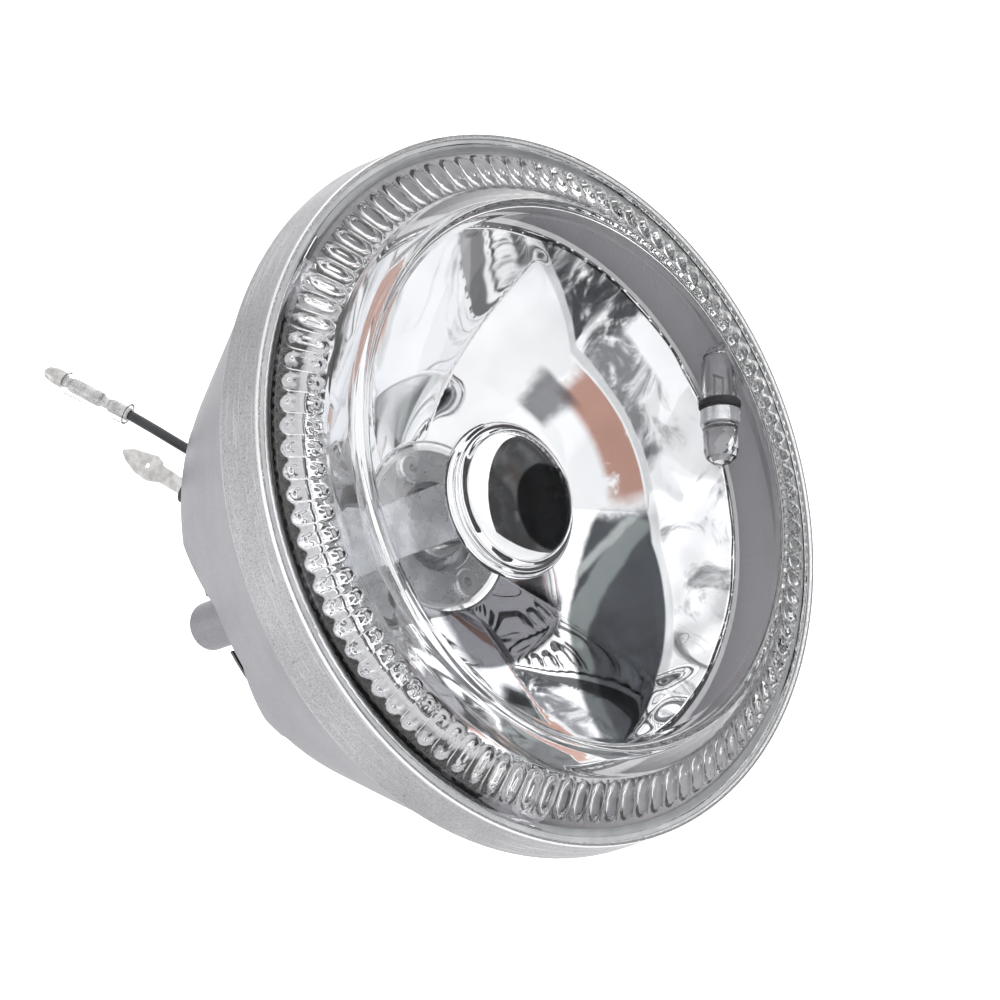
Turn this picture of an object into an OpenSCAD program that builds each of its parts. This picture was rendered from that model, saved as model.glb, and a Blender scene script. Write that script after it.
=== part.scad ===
// Round fog light insert: silver bowl, moulded clear lens, chrome reflector,
// shielded main bulb, small marker bulb and a screwed rear cover with a twist cap.
// The lamp looks along -Y. Depths are measured back from the plane of the front lip.

/* [Housing] */
// Radius of the front lip
lip_r = 80; // [78:0.5:82]
// Largest radius of the front band, at the crease
band_r = 81.2; // [80.8:0.1:82]
// Depth of the crease behind the lip
crease_d = 12; // [10:0.5:14]
// Outer radius of the bowl at its rear rim
rim_r = 60.5; // [60.3:0.1:61.5]
// Depth of the rear rim behind the lip
rim_d = 61; // [60:0.25:62]
// Wall thickness of the bowl
wall = 2; // [1.6:0.1:2]

/* [Mounting bosses] */
// Radius of the circle that the three bosses stand on
boss_circle_r = 57.5; // [57:0.5:58]
// Radius of one boss
boss_r = 5.5; // [5:0.25:6]
// Depth of the bosses' ends behind the lip
boss_end_d = 66; // [64:0.5:70]
// Radius of the tapped hole in each boss
boss_hole_r = 2.1; // [1.6:0.05:2.6]
// Depth of the tapped hole
boss_hole_l = 14; // [10:1:16]

/* [Lens] */
// Radius of the lens edge
lens_r = 77.8; // [77:0.1:78]
// How far the ridge stands in front of the lip
ridge_h = 9.5; // [8:0.5:11]
// How far the middle of the dome stands in front of the lip
dome_h = 15.5; // [14:0.5:18]
// Thickness of the lens
lens_t = 3; // [2.6:0.1:3.2]

/* [Reflector] */
// Radius of the mirror at its front edge
mirror_r = 61.5; // [60:0.5:62]
// Focal length of the mirror
focal_l = 22.9; // [22.5:0.1:23.5]
// Depth of the mirror's vertex behind the lip
vertex_d = 52; // [51.5:0.5:52]
// Radius of the hole for the main bulb
neck_r = 10.2; // [9.9:0.1:10.5]

/* [Rear] */
// Radius of the rear cover
cover_r = 58.2; // [57.6:0.1:58.2]
// Inner radius of the collar that takes the twist cap
collar_r = 31; // [30:0.5:32]
// Depth of the twist cap's end behind the lip
cap_end_d = 84; // [84:0.5:90]
// Number of grip ribs round the twist cap
cap_ribs = 12; // [6:1:18]

/* [Lead] */
// Radius of the lead
lead_r = 1.2; // [1:0.1:1.3]
// Length of the bullet terminal
terminal_l = 24; // [20:1:26]

/* [Hidden] */
$fn = 96;

lip_y = -boss_end_d;              // the origin lies in the plane of the bosses' ends
gap = 0.05;                       // clearance between pieces that are fixed together
boss_angles = [90, 210, 330];
fixing_angles = [30, 150, 270];

bowl_slope = (band_r - 0.7 - rim_r) / (rim_d - crease_d);
function bowl_out(d) = rim_r + bowl_slope * (rim_d - d);
function bowl_in(d) = bowl_out(d) - wall;
function mirror_d(r) = vertex_d - r * r / (4 * focal_l);

notch_d = 45.5;                   // floor of the notches round the bosses
low_rim_d = 58.6;                 // the rear rim between the tabs
ledge_d = 6.2;                    // the lens and its seal sit on this ledge
ledge_t = 2;
lip_in_r = lip_r - 1;
ear_d = 14.2;                     // front face of the reflector's ears
ear_t = 1.8;
ear_hole_r = 70;                  // radius of the circle of the ears' screws
seat_d = vertex_d + 1.2;          // flat back of the reflector, where the bulb flange seats
seat_r = 26;
cover_d = 56.4;                   // front face of the rear cover
cover_t = 2.2;
cover_screw_r = 50;
collar_end_d = 64;
collar_t = 3;
lug_d = 60;                       // front face of the cap's bayonet lugs
lug_t = 2;
cap_twist = 35;
rivet_r = 15;
rivet_angles = [304, 124];
leg_angle = 196;
leg_x = 13.6;
foot_d = mirror_d(18.6) - 0.02;   // back face of the shield's foot
shield_d = 16.2;                  // back of the shield cap's flat inside
clip_pivot = [17, 55.3];          // x and depth of the clip's pivot
clip_wire_r = 0.8;
clip_reach = 33;
clip_z = 9;
marker_x = 53.2;
marker_d = 5.2;
marker_z = 31;
marker_r = 4;

// The lead's own route, from the grommet's nose to the bullet terminal.
lead_route = [
    [-44, -4, 5], [-44.1, -2.6, 5.3], [-44.9, -0.7, 6.6], [-46.8, 0.9, 8.8], [-49.4, 2.6, 11.2],
    [-52.4, 4.6, 13.6], [-55.6, 7, 16], [-58.5, 9.3, 18.3], [-61.3, 11.6, 20.5], [-64, 14, 22.7]
];
// The pigtail's route, from the main bulb round the clip to the grommet's inner end.
pigtail_route = [
    [0, -4, 0], [0.6, 0, 0], [1, 4, 0], [0.5, 7.5, 0], [-3, 10, 0], [-9, 10.6, 0],
    [-15.5, 9.8, 0], [-20.6, 7.2, 0], [-23.6, 3.2, 0], [-24.9, -2, 0], [-25.5, -7, 0],
    [-27.2, -11, 0], [-30, -15, 0.8], [-35.6, -17.8, 2.6], [-41.6, -16.8, 4.4], [-44, -12.6, 5]
];
terminal_dir = [-0.609, 0.617, 0.494];
tab_root = [-43, cover_d + cover_t, -6.3];
boot_l = 19;
tab_dir = [-0.612, 0.572, 0.543];

// ---- helpers ----

// turns a profile of [radius, depth] points round the lamp's axis
module turned(profile) {
    translate([0, lip_y, 0])
        rotate([-90, 0, 0])
            rotate_extrude($fn = 180)
                polygon(profile);
}

// places children at a clock angle, a radius and a depth, with their Z along the lamp's axis
module placed(angle, r, d) {
    translate([r * cos(angle), lip_y + d, r * sin(angle)])
        rotate([-90, 0, 0])
            children();
}

// a round bar along the lamp's axis
module rod(angle, r, d, radius, length) {
    placed(angle, r, d)
        cylinder(r = radius, h = length);
}

// a block whose X is radial and whose Z is along the lamp's axis
module radial_block(angle, r0, r1, width, d0, d1) {
    translate([0, lip_y, 0])
        rotate([0, -angle, 0])
            translate([r0, d0, -width / 2])
                cube([r1 - r0, d1 - d0, width]);
}

// children whose Z points along a direction
module aimed(dir) {
    polar = acos(dir[2] / norm(dir));
    turn = atan2(dir[1], dir[0]);
    rotate([0, polar, turn])
        children();
}

function lerp_route(p, i, t) =
    let (a = p[max(i - 1, 0)], b = p[i], c = p[i + 1], e = p[min(i + 2, len(p) - 1)])
    0.5 * (2 * b + (c - a) * t + (2 * a - 5 * b + 4 * c - e) * t * t
        + (3 * b - a - 3 * c + e) * t * t * t);
function smooth_route(p) = concat(
    [for (i = [0 : len(p) - 2]) for (t = [0, 0.5]) lerp_route(p, i, t)],
    [p[len(p) - 1]]
);
function unit(v) = v / norm(v);
function route_tangent(p, i) = unit(p[min(i + 1, len(p) - 1)] - p[max(i - 1, 0)]);

// a round cord swept along a route, with 8 sides and flat ends
module cord(route, radius, first_dir, last_dir) {
    sides = 8;
    p = smooth_route(route);
    n = len(p);
    points = [
        for (i = [0 : n - 1])
            let (
                t = i == 0 ? unit(first_dir) : i == n - 1 ? unit(last_dir) : route_tangent(p, i),
                side = unit(cross(t, [0.12, 0, 1])),
                up = cross(side, t)
            )
            for (k = [0 : sides - 1])
                p[i] + radius * (cos(k * 360 / sides) * side + sin(k * 360 / sides) * up)
    ];
    walls = [
        for (i = [0 : n - 2])
            for (k = [0 : sides - 1])
                let (a = i * sides + k, b = i * sides + (k + 1) % sides)
                [a, b, b + sides, a + sides]
    ];
    start = [[for (k = [sides - 1 : -1 : 0]) k]];
    finish = [[for (k = [0 : sides - 1]) (n - 1) * sides + k]];
    polyhedron(points, concat(start, walls, finish), convexity = 8);
}

// a pan-head screw along the lamp's axis: head at the given depth, facing front or back
module pan_screw(angle, r, head_d, head_r, head_t, shank_r, shank_l, facing) {
    slot_w = head_r * 0.32;
    placed(angle, r, head_d)
        mirror([0, 0, facing < 0 ? 1 : 0])
            difference() {
                union() {
                    translate([0, 0, -shank_l])
                        cylinder(r = shank_r, h = shank_l);
                    rotate_extrude()
                        intersection() {
                            square([head_r, head_t]);
                            translate([0, head_t - 2 * head_r])
                                circle(r = 2 * head_r);
                        }
                }
                for (a = [0, 90])
                    rotate([0, 0, a])
                        translate([-head_r * 0.62, -slot_w / 2, head_t * 0.45])
                            cube([head_r * 1.24, slot_w, head_t]);
            }
}

// ---- housing and lens ----

// the space inside the bowl, out to the middle of its wall
module bowl_core() {
    turned([
        [0, crease_d], [bowl_out(crease_d) - wall / 2, crease_d], [rim_r - wall / 2, rim_d], [0, rim_d]
    ]);
}

module bowl_shell() {
    turned([
        [lip_in_r, 0.4], [lip_in_r + 0.3, 0], [lip_r - 0.2, 0], [lip_r, 0.5],
        [band_r, crease_d - 0.6], [band_r - 0.2, crease_d], [bowl_out(crease_d + 0.2), crease_d + 0.2],
        [rim_r, rim_d], [rim_r - wall, rim_d], [bowl_in(crease_d), crease_d],
        [lip_in_r - 0.6, crease_d - 1.2], [lip_in_r - 3.4, ledge_d + ledge_t],
        [lip_in_r - 3.4, ledge_d], [lip_in_r, ledge_d]
    ]);
}

// cuts the rear rim along a radius; the outline is given as [depth, sideways]
module rim_cut(angle, outline) {
    translate([0, lip_y, 0])
        rotate([0, -angle, 0])
            translate([40, 0, 0])
                rotate([90, 0, 90])
                    linear_extrude(height = 30)
                        polygon(outline);
}

module boss() {
    length = boss_end_d - 40;
    rotate_extrude()
        union() {
            square([boss_r, length - 3]);
            intersection() {
                square([boss_r, length]);
                translate([0, length - 7])
                    circle(r = 7);
            }
        }
}

module housing() {
    post_l = 12;
    lug_l = 12;
    color("silver")
        difference() {
            union() {
                difference() {
                    bowl_shell();
                    for (a = boss_angles) {
                        // a splayed notch in the rear rim round each boss
                        rim_cut(a + 2.5, [
                            [notch_d, -7], [rim_d + 0.5, -22], [rim_d + 5, -22],
                            [rim_d + 5, 22], [rim_d + 0.5, 22], [notch_d, 7]
                        ]);
                        // the rim is lower between the tabs that flank the notches
                        rim_cut(a + 52.5, [[low_rim_d, -25], [70, -25], [70, 25], [low_rim_d, 25]]);
                    }
                }
                for (a = boss_angles)
                    placed(a, boss_circle_r, 40)
                        boss();
                intersection() {
                    bowl_core();
                    union() {
                        for (a = boss_angles)
                            radial_block(a, boss_circle_r, 75, 5, 36, notch_d);
                        for (a = fixing_angles) {
                            radial_block(a, ear_hole_r + 1, 80, 5, ear_d + ear_t + 1, 24);
                            radial_block(a, cover_screw_r + 1, 75, 4, 45.5, cover_d - 1);
                        }
                    }
                }
                for (a = fixing_angles) {
                    rod(a, ear_hole_r, ear_d + ear_t + gap, 3.8, post_l);
                    rod(a, cover_screw_r, cover_d - gap - lug_l, 4, lug_l);
                }
            }
            for (a = boss_angles)
                rod(a, boss_circle_r, boss_end_d - boss_hole_l, boss_hole_r, boss_hole_l + 1);
            for (a = fixing_angles) {
                rod(a, ear_hole_r, ear_d, 1.65, 12);
                rod(a, cover_screw_r, cover_d - 10, 1.65, 11);
            }
        }
}

// points of the dome, from the ridge to the middle
function dome(r, h_edge, h_mid, steps) =
    let (sag = h_mid - h_edge, big = (r * r + sag * sag) / (2 * sag))
    [for (i = [0 : steps]) let (x = r * (1 - i / steps)) [x, -h_mid + big - sqrt(big * big - x * x)]];
function reversed(p) = [for (i = [len(p) - 1 : -1 : 0]) p[i]];

module lens() {
    front = concat(
        [[lens_r, 0.7], [lens_r - 0.5, 0.2], [75.2, 0.1], [66.2, -4.4], [62, 0.8 - ridge_h],
            [61.2, -ridge_h], [60.4, 0.1 - ridge_h]],
        dome(59.8, ridge_h - 0.6, dome_h, 10)
    );
    back = concat(
        reversed(dome(58.2, ridge_h - lens_t - 0.9, dome_h - lens_t, 10)),
        [[60, 3.7 - ridge_h], [64.6, lens_t - 4.2], [74.4, lens_t + 0.3], [lens_r, lens_t + 0.4]]
    );
    color("lightcyan", 0.4)
        turned(concat(front, back));
}

module lens_seal() {
    inner_r = lip_in_r - 3;
    color("dimgray")
        turned([
            [inner_r, lens_t + 0.4], [lens_r + gap, lens_t + 0.4], [lens_r + gap, 0.9],
            [lip_in_r - gap, 0.9], [lip_in_r - gap, ledge_d - gap], [inner_r, ledge_d - gap]
        ]);
}

// ---- reflector ----

module reflector() {
    steps = 20;
    mirror_side = [for (i = [0 : steps]) let (r = neck_r + (mirror_r - neck_r) * i / steps) [r, mirror_d(r)]];
    back_r = mirror_r + 0.7;
    back_side = [for (i = [0 : steps]) let (r = back_r + (seat_r - back_r) * i / steps) [r, mirror_d(r) + 2]];
    rim = [
        [mirror_r + 0.5, mirror_d(mirror_r) - 0.5], [mirror_r + 2.1, mirror_d(mirror_r) - 0.7],
        [mirror_r + 2.6, mirror_d(mirror_r) - 0.2], [mirror_r + 2.6, mirror_d(mirror_r) + 0.8],
        [mirror_r + 1.8, mirror_d(mirror_r) + 1.2]
    ];
    color("gainsboro")
        difference() {
            union() {
                turned(concat(mirror_side, rim, back_side, [[seat_r, seat_d], [neck_r, seat_d]]));
                difference() {
                    for (a = fixing_angles) {
                        radial_block(a, 56, ear_hole_r, 8.4, ear_d, ear_d + ear_t);
                        rod(a, ear_hole_r, ear_d, 4.5, ear_t);
                    }
                    turned(concat([[0, -1]], [[mirror_r + 1, -1]], reversed(
                        [for (i = [0 : steps]) let (r = (mirror_r + 1) * i / steps) [r, mirror_d(r) + 1]])));
                }
            }
            for (a = fixing_angles)
                rod(a, ear_hole_r, ear_d - 1, 2.2, ear_t + 2);
            for (a = rivet_angles)
                rod(a, rivet_r, foot_d - 1, 1.55, 10);
            for (z = [-8, 8])
                translate([22, lip_y + seat_d - 5, z])
                    rotate([-90, 0, 0])
                        cylinder(r = 1.25, h = 6);
            translate([-21, lip_y + seat_d - 5, 0])
                rotate([-90, 0, 0])
                    cylinder(r = 1.25, h = 6);
        }
}

module reflector_screws() {
    color("lightgray")
        for (a = fixing_angles)
            pan_screw(a, ear_hole_r, a == 30 ? ear_d - 0.85 : ear_d - gap, 3.2, 2.2, 1.6, 9, -1);
}

// ---- bulb shield ----

module shield_cap() {
    color("silver")
        turned([
            [0, shield_d - 3], [4, shield_d - 2.9], [8, shield_d - 2.5], [11.5, shield_d - 1.7],
            [13.8, shield_d - 0.7], [15.2, shield_d + 0.6], [16.2, shield_d + 2.4],
            [17.4, shield_d + 3.8], [18.5, shield_d + 4.3], [18.5, shield_d + 5.1],
            [17, shield_d + 4.7], [15.3, shield_d + 2.9], [14.5, shield_d + 1], [14.3, shield_d],
            [0, shield_d]
        ]);
}

module shield_bracket() {
    leg_t = 0.8;
    leg_w = 13;
    color("gray")
        difference() {
            union() {
                turned([[neck_r + 0.9, foot_d - leg_t], [18.6, foot_d - leg_t], [18.6, foot_d], [neck_r + 0.9, foot_d]]);
                for (side = [0, 180])
                    radial_block(leg_angle + side, leg_x - leg_t, leg_x, leg_w, shield_d, foot_d - leg_t / 2);
                radial_block(leg_angle, -leg_x, leg_x, leg_w, shield_d, shield_d + leg_t);
            }
            for (a = rivet_angles)
                rod(a, rivet_r, foot_d - 3, 1.55, 5);
            // corners eased to fit inside the cap
            turned([
                [14.1, shield_d - 1], [20, shield_d - 1], [20, shield_d + 3.6], [15.1, shield_d + 3.6],
                [14.8, shield_d + 2.9], [14.1, shield_d + 1.2]
            ]);
        }
}

module shield_rivets() {
    head_r = 3.6;
    head_t = 1.2;
    head_d = foot_d - 0.8 - gap;
    color("silver")
        for (a = rivet_angles) {
            placed(a, rivet_r, head_d - head_t)
                rotate_extrude()
                    difference() {
                        union() {
                            square([head_r, head_t]);
                            square([1.5, head_t + seat_d - head_d + 0.2]);
                        }
                        square([1.1, 2.4]);
                        translate([head_r, 0])
                            circle(r = 0.6);
                    }
            rod(a, rivet_r, seat_d + gap, 2.6, 0.9);
        }
}

// ---- main bulb ----

module bulb_flange() {
    color("lightgray")
        difference() {
            turned([
                [0, 47], [7.2, 47], [7.6, 47.5], [7.6, seat_d + gap], [11, seat_d + gap],
                [11, seat_d + 0.85], [7.6, seat_d + 0.85], [7.6, 59.4], [7.2, 59.9], [0, 59.9]
            ]);
            radial_block(90, 9.6, 12, 3, seat_d - 1, seat_d + 2);
        }
}

module bulb_glass() {
    color("lightblue", 0.4)
        turned([
            [5.75, 46.95], [5.75, 31], [5.5, 29.4], [4.8, 27.9], [3.4, 26.8], [1.6, 26.3], [0.7, 25.2], [0, 24.9],
            [0, 27.3], [2.4, 27.6], [3.9, 28.7], [4.6, 30], [4.75, 31.4], [4.75, 46.95]
        ]);
}

module bulb_filament() {
    filament_d = 37;
    filament_l = 5;
    color("goldenrod") {
        translate([-filament_l / 2, lip_y + filament_d, 0])
            rotate([0, 90, 0])
                cylinder(r = 0.7, h = filament_l);
        for (x = [-2.6, 2.6])
            translate([x, lip_y + filament_d - 0.3, 0])
                rotate([-90, 0, 0])
                    cylinder(r = 0.3, h = 46.95 - filament_d + 0.3);
    }
}

module bulb_insulator() {
    color("darkslategray")
        turned([[0, 59.95], [6.4, 59.95], [6.4, 61], [5.8, 61.6], [2.2, 61.6], [1.8, 61.95], [0, 61.95]]);
}

module bulb_pigtail() {
    color("black")
        cord(pigtail_route, lead_r, [0, 1, 0], [0, 1, 0]);
}

// ---- spring clip ----

module clip_bar(from, to) {
    translate(from)
        aimed(to - from)
            cylinder(r = clip_wire_r, h = norm(to - from), $fn = 32);
}

module bulb_clip() {
    y = lip_y + clip_pivot[1];
    x0 = clip_pivot[0];
    x1 = x0 - clip_reach;
    color("lightgray") {
        clip_bar([x0, y, -12.4], [x0, y, 12.4]);
        for (s = [-1, 1]) {
            clip_bar([x0, y, s * clip_z], [x1, y, s * clip_z]);
            translate([x1, y, s * clip_z])
                sphere(r = clip_wire_r, $fn = 32);
            clip_bar([x1, y, s * clip_z], [x1, y, s * 5]);
        }
    }
}

module clip_bracket() {
    base_y = lip_y + seat_d + gap;
    color("gray")
        difference() {
            union() {
                translate([13.5, base_y, -12])
                    cube([11, 0.8, 24]);
                for (s = [-1, 1])
                    translate([clip_pivot[0] - 2, base_y, s * 11.4 - 0.6])
                        cube([4, 4.2, 1.2]);
            }
            translate([clip_pivot[0], lip_y + clip_pivot[1], -15])
                cylinder(r = clip_wire_r + 0.05, h = 30);
            for (z = [-8, 8])
                translate([22, base_y - 1, z])
                    rotate([-90, 0, 0])
                        cylinder(r = 1.4, h = 3);
            turned([[0, 50], [12, 50], [12, 60], [0, 60]]);
            translate([clip_pivot[0] - 5, base_y - 1, -clip_z - 1.2])
                cube([4, 3, 2 * clip_z + 2.4]);
        }
}

module clip_catch() {
    base_y = lip_y + seat_d + gap;
    color("gray")
        difference() {
            union() {
                translate([-24.5, base_y, -8])
                    cube([7, 0.8, 16]);
                translate([-18.3, base_y, -8])
                    cube([0.8, 3.6, 16]);
                translate([-18.3, base_y + 2.9, -8])
                    cube([1.1, 0.7, 16]);
            }
            translate([-21, base_y - 1, 0])
                rotate([-90, 0, 0])
                    cylinder(r = 1.4, h = 3);
            // gap that the pigtail passes through
            translate([-19, base_y + 0.8, -4])
                cube([4, 4, 8]);
        }
}

module small_screw(x, z) {
    translate([x, lip_y + seat_d + 0.85 + gap, z])
        rotate([-90, 0, 0])
            difference() {
                union() {
                    translate([0, 0, -5])
                        cylinder(r = 1.2, h = 5);
                    cylinder(r = 2.3, h = 1.4);
                }
                translate([-2.4, -0.35, 0.8])
                    cube([4.8, 0.7, 2]);
            }
}

module clip_screws() {
    color("silver") {
        for (z = [-8, 8])
            small_screw(22, z);
        small_screw(-21, 0);
    }
}

// ---- marker bulb ----

// turns a profile of [radius, height] points round the marker bulb's own upright axis
module marker_turned(profile) {
    translate([marker_x, lip_y + marker_d, marker_z])
        rotate_extrude($fn = 64)
            polygon(profile);
}

module marker_glass() {
    color("lightblue", 0.4)
        marker_turned([
            [marker_r - 0.4, 1.05], [marker_r, 2.4], [marker_r, 10.4], [3.6, 12.6], [2.4, 14.3],
            [0.9, 15.1], [0, 15.2], [0, 14.4], [1.9, 13.8], [3, 12.2], [3.3, 10.3], [3.3, 2.5],
            [2.9, 1.05]
        ]);
}

module marker_filament() {
    color("goldenrod")
        translate([marker_x, lip_y + marker_d, marker_z]) {
            for (x = [-1.4, 1.4])
                translate([x, 0, 1.05])
                    cylinder(r = 0.25, h = 6.4, $fn = 24);
            translate([-1.7, 0, 7.3])
                rotate([0, 90, 0])
                    cylinder(r = 0.35, h = 3.4, $fn = 24);
        }
}

module marker_seal() {
    color("black")
        marker_turned([[0, -1], [marker_r + 0.5, -1], [marker_r + 0.9, -0.5], [marker_r + 0.9, 0.5],
            [marker_r + 0.5, 1], [0, 1]]);
}

module marker_holder() {
    color("whitesmoke", 0.6)
        marker_turned([[0, -1.05], [marker_r - 0.3, -1.05], [marker_r - 0.3, -5.5], [marker_r, -6],
            [marker_r, -11.6], [3.5, -13.4], [2.2, -14.6], [0, -15]]);
}

module marker_bracket() {
    t = 0.8;
    screw_x = ear_hole_r * cos(30);
    screw_z = ear_hole_r * sin(30);
    band_r0 = marker_r - 0.3 + gap;
    color("lightgray")
        difference() {
            union() {
                // foot under the reflector's screw
                rod(30, ear_hole_r, ear_d - gap - t, 4.5, t);
                radial_block(30, 65.8, ear_hole_r, 8.4, ear_d - gap - t, ear_d - gap);
                // upright beside the reflector's rim
                radial_block(30, 65.8, 65.8 + t, 7, marker_d - 1, ear_d - gap);
                // band round the holder
                translate([marker_x, lip_y + marker_d, marker_z - 5])
                    cylinder(r = band_r0 + t, h = 3.4);
                radial_block(26.5, 60, 66.2, 3, marker_d - 0.6, marker_d + 0.6);
            }
            translate([marker_x, lip_y + marker_d, marker_z - 20])
                cylinder(r = band_r0, h = 40);
            translate([marker_x, lip_y + marker_d, marker_z - 1.4])
                cylinder(r = marker_r + 1.5, h = 16);
            translate([screw_x, lip_y + ear_d - 5, screw_z])
                rotate([-90, 0, 0])
                    cylinder(r = 1.65, h = 10);
        }
}

// ---- rear cover and twist cap ----

module boss_clearance() {
    for (a = boss_angles)
        rod(a, boss_circle_r, 45, boss_r + 1.5, 30);
}

module rear_cover() {
    wall_r = collar_r + collar_t;
    back_d = cover_d + cover_t;
    skirt_d = 48;
    skirt_t = 1.6;
    color("#202020")
        difference() {
            union() {
                turned([
                    [collar_r, cover_d], [cover_r - skirt_t, cover_d], [cover_r - skirt_t, skirt_d],
                    [cover_r, skirt_d], [cover_r, back_d - 0.6], [cover_r - 0.8, back_d],
                    [wall_r + 1.2, back_d], [wall_r, back_d + 1.2], [wall_r, collar_end_d - 0.5],
                    [wall_r - 0.5, collar_end_d], [collar_r, collar_end_d]
                ]);
                // low stiffening ribs between the collar and the edge
                for (a = [60, 120, 240, 300])
                    radial_block(a, wall_r - 0.5, cover_r - 3, 2, back_d - 0.2, back_d + 1.2);
            }
            boss_clearance();
            for (a = fixing_angles) {
                rod(a, cover_screw_r, cover_d - 1, 1.9, cover_t + 2);
                radial_block(a, 45, 65, 5, skirt_d - 1, cover_d);
            }
            // hole for the grommet
            translate([lead_route[0][0], lip_y + cover_d - 1, lead_route[0][2]])
                rotate([-90, 0, 0])
                    cylinder(r = 3, h = cover_t + 2);
            // bayonet tracks with their entries
            translate([0, lip_y, 0])
                rotate([-90, 0, 0])
                    for (a = [0, 120, 240])
                        rotate([0, 0, a]) {
                            rotate([0, 0, -6])
                                rotate_extrude(angle = 12 + cap_twist + 6)
                                    translate([collar_r - 1, lug_d - 0.3])
                                        square([2.9, lug_t + 0.6]);
                            rotate([0, 0, cap_twist - 5])
                                rotate_extrude(angle = 16)
                                    translate([collar_r - 1.5, lug_d + 1])
                                        square([3.1, 5]);
                        }
        }
}

module cover_gasket() {
    color("black")
        difference() {
            turned([[cover_r + gap, 55.6], [bowl_in(55.6) - gap, 55.6], [bowl_in(57.6) - gap, 57.6],
                [cover_r + gap, 57.6]]);
            boss_clearance();
            for (a = fixing_angles)
                radial_block(a, 45, 65, 5, 50, cover_d);
        }
}

module cover_screws() {
    color("silver")
        for (a = fixing_angles)
            pan_screw(a, cover_screw_r, cover_d + cover_t + gap, 3.6, 2.2, 1.6, 9, 1);
}

module bulb_cap() {
    plug_r = collar_r - 0.4;
    flange_r = collar_r + collar_t;
    in_r = plug_r - 3;
    top = cap_end_d;
    color("#262626")
        difference() {
            union() {
                turned([
                    [in_r, 58.8], [plug_r, 58.8], [plug_r, collar_end_d + 0.4], [flange_r, collar_end_d + 0.4],
                    [flange_r, collar_end_d + 2.6], [flange_r - 1, collar_end_d + 3.4],
                    [in_r + 1.6, collar_end_d + 4.4], [in_r - 1.4, top - 3], [in_r - 4.4, top],
                    [0, top], [0, top - 2.4], [in_r - 5.2, top - 2.4], [in_r - 3.6, top - 4], [in_r, 68]
                ]);
                for (i = [0 : cap_ribs - 1])
                    radial_block(i * 360 / cap_ribs + 15, in_r - 2, in_r + 2.4, 2.4, collar_end_d + 3, top - 4);
                translate([0, lip_y, 0])
                    rotate([-90, 0, 0])
                        for (a = [0, 120, 240])
                            rotate([0, 0, a])
                                rotate_extrude(angle = 8)
                                    translate([plug_r - 0.5, lug_d])
                                        square([2.1, lug_t]);
            }
            // groove of the seal ring
            turned([[plug_r - 1.45, 62.3], [plug_r + 1, 62.3], [plug_r + 1, 64.1], [plug_r - 1.45, 64.1]]);
            turned([[0, 57], [in_r - 0.01, 57], [in_r - 0.01, 68], [in_r - 3.6, top - 4], [in_r - 5.2, top - 2.4], [0, top - 2.4]]);
        }
}

module cap_seal() {
    section_r = 0.88;
    color("black")
        translate([0, lip_y + 63.2, 0])
            rotate([-90, 0, 0])
                rotate_extrude()
                    translate([collar_r - 0.06 - section_r, 0])
                        circle(r = section_r, $fn = 32);
}

// ---- lead and terminals ----

module grommet() {
    color("#181818")
        translate([lead_route[0][0], lip_y + cover_d, lead_route[0][2]])
            rotate([-90, 0, 0])
                rotate_extrude($fn = 64)
                    polygon([
                        [0, -3], [1.9, -3], [3.8, -1.2], [3.8, -gap], [2.95, -gap], [2.95, cover_t + gap],
                        [3.6, cover_t + gap], [3.6, cover_t + 0.9], [2.6, cover_t + 1.6],
                        [1.9, cover_t + 3.4], [0, cover_t + 3.4]
                    ]);
}

module lead() {
    color("black")
        cord(lead_route, lead_r, [0, 1, 0], terminal_dir);
}

// turns a profile of [radius, distance] points round the bullet terminal's own axis
module terminal_turned(profile) {
    translate(lead_route[len(lead_route) - 1])
        aimed(terminal_dir)
            rotate_extrude($fn = 48)
                polygon(profile);
}

module bullet_terminal() {
    l = terminal_l;
    color("silver")
        terminal_turned([
            [0, 0], [1.6, 0], [1.6, 5], [1.3, 5.6], [1.3, 7.4], [1.75, 8], [1.75, l - 8], [1.3, l - 7],
            [1.3, l - 6.2], [1.95, l - 5.4], [1.95, l - 2.6], [1.5, l - 0.8], [0.8, l], [0, l]
        ]);
}

module terminal_sleeve() {
    color("whitesmoke", 0.4)
        terminal_turned([[2.1, 0.6], [2.6, 0.6], [2.7, 4], [2.55, 12], [2.75, 17.6], [2.1, 17.6]]);
}

module tab_boot() {
    translate([tab_root[0], lip_y + tab_root[1], tab_root[2]])
        color("#181818")
            difference() {
                aimed(tab_dir)
                    translate([0, 0, -6])
                        rotate_extrude($fn = 48)
                            polygon([[0, 0], [3.2, 0], [3.2, boot_l + 5.5], [2.7, boot_l + 6], [0, boot_l + 6]]);
                translate([-20, -40, -20])
                    cube([40, 40, 40]);
            }
}

module ground_tab() {
    blade_t = 0.8;
    translate([tab_root[0], lip_y + tab_root[1], tab_root[2]])
        color("lightgray")
            aimed(tab_dir)
                translate([0, 0, boot_l])
                    rotate([0, 0, -13])
                        rotate([90, 0, 0])
                            translate([0, 0, -blade_t / 2])
                                linear_extrude(height = blade_t)
                                    difference() {
                                        polygon([
                                            [-1.7, 0], [1.7, 0], [1.9, 6], [3.15, 9], [2.9, 12.4],
                                            [1.6, 15.8], [0.4, 17.5], [-0.3, 17.5], [-1.7, 15.2],
                                            [-3.15, 9.4], [-2.6, 8], [-1.9, 7.4]
                                        ]);
                                        translate([0, 10.6])
                                            circle(r = 0.6, $fn = 32);
                                    }
}

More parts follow.
